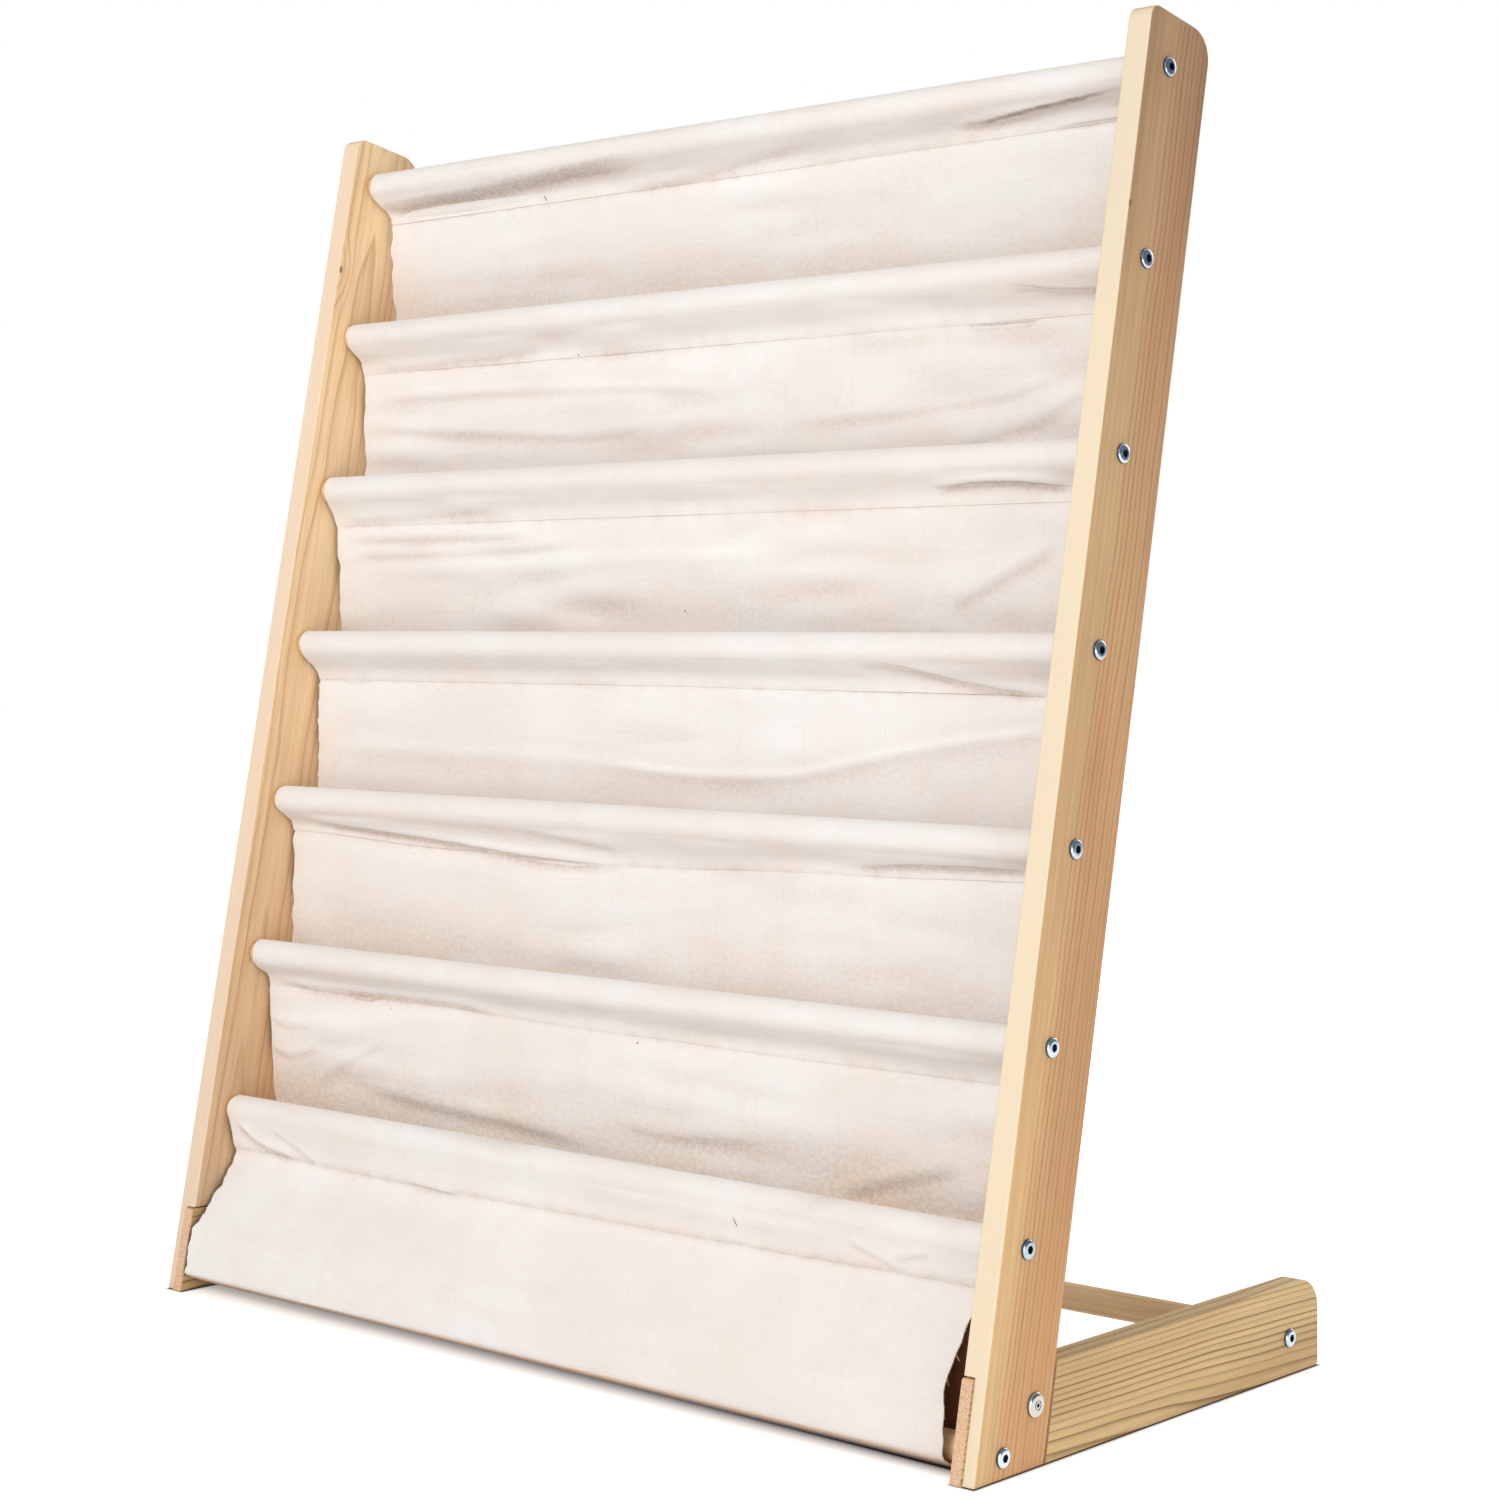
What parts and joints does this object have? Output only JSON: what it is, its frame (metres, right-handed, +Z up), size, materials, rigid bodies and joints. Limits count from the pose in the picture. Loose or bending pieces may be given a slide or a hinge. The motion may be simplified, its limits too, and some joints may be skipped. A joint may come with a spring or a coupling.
{
  "type": "sling bookshelf",
  "caption": "Leaning pine frame with cloth slings hung over cross dowels, so that picture books stand in the pockets with their covers to the front.",
  "frame": {"origin": "centre of the rectangle that the shelf covers on the floor, at floor level", "axes": "+X across the shelf to its right side as seen from the front, +Y from the slings to the feet's rear ends, +Z up"},
  "size_m": [0.8054, 0.393, 0.9168],
  "materials": {
    "board_pine": "clear-lacquered planed pine",
    "dowel_pine": "clear-lacquered turned pine",
    "zinc_steel": "bright zinc plate",
    "cotton_cloth": "unbleached plain-weave cotton"
  },
  "bodies": {
    "root": {"right_upright": "board_pine", "right_foot": "board_pine", "right_dowel_screw_1": "zinc_steel", "right_dowel_screw_2": "zinc_steel", "right_dowel_screw_3": "zinc_steel", "right_dowel_screw_4": "zinc_steel", "right_dowel_screw_5": "zinc_steel", "right_dowel_screw_6": "zinc_steel", "right_dowel_screw_7": "zinc_steel", "right_dowel_screw_8": "zinc_steel", "right_rear_dowel_screw": "zinc_steel", "right_lap_bolt": "zinc_steel", "right_sleeve_nut": "zinc_steel", "left_upright": "board_pine", "left_foot": "board_pine", "left_dowel_screw_1": "zinc_steel", "left_dowel_screw_2": "zinc_steel", "left_dowel_screw_3": "zinc_steel", "left_dowel_screw_4": "zinc_steel", "left_dowel_screw_5": "zinc_steel", "left_dowel_screw_6": "zinc_steel", "left_dowel_screw_7": "zinc_steel", "left_dowel_screw_8": "zinc_steel", "left_rear_dowel_screw": "zinc_steel", "left_lap_bolt": "zinc_steel", "left_sleeve_nut": "zinc_steel", "pocket_dowel_1": "dowel_pine", "pocket_dowel_2": "dowel_pine", "pocket_dowel_3": "dowel_pine", "pocket_dowel_4": "dowel_pine", "pocket_dowel_5": "dowel_pine", "pocket_dowel_6": "dowel_pine", "pocket_dowel_7": "dowel_pine", "bottom_dowel": "dowel_pine", "rear_dowel": "dowel_pine", "top_sleeve": "cotton_cloth", "sling_1": "cotton_cloth", "sling_2": "cotton_cloth", "sling_3": "cotton_cloth", "sling_4": "cotton_cloth", "sling_5": "cotton_cloth", "sling_6": "cotton_cloth", "front_skirt": "cotton_cloth"}
  },
  "joints": []
}
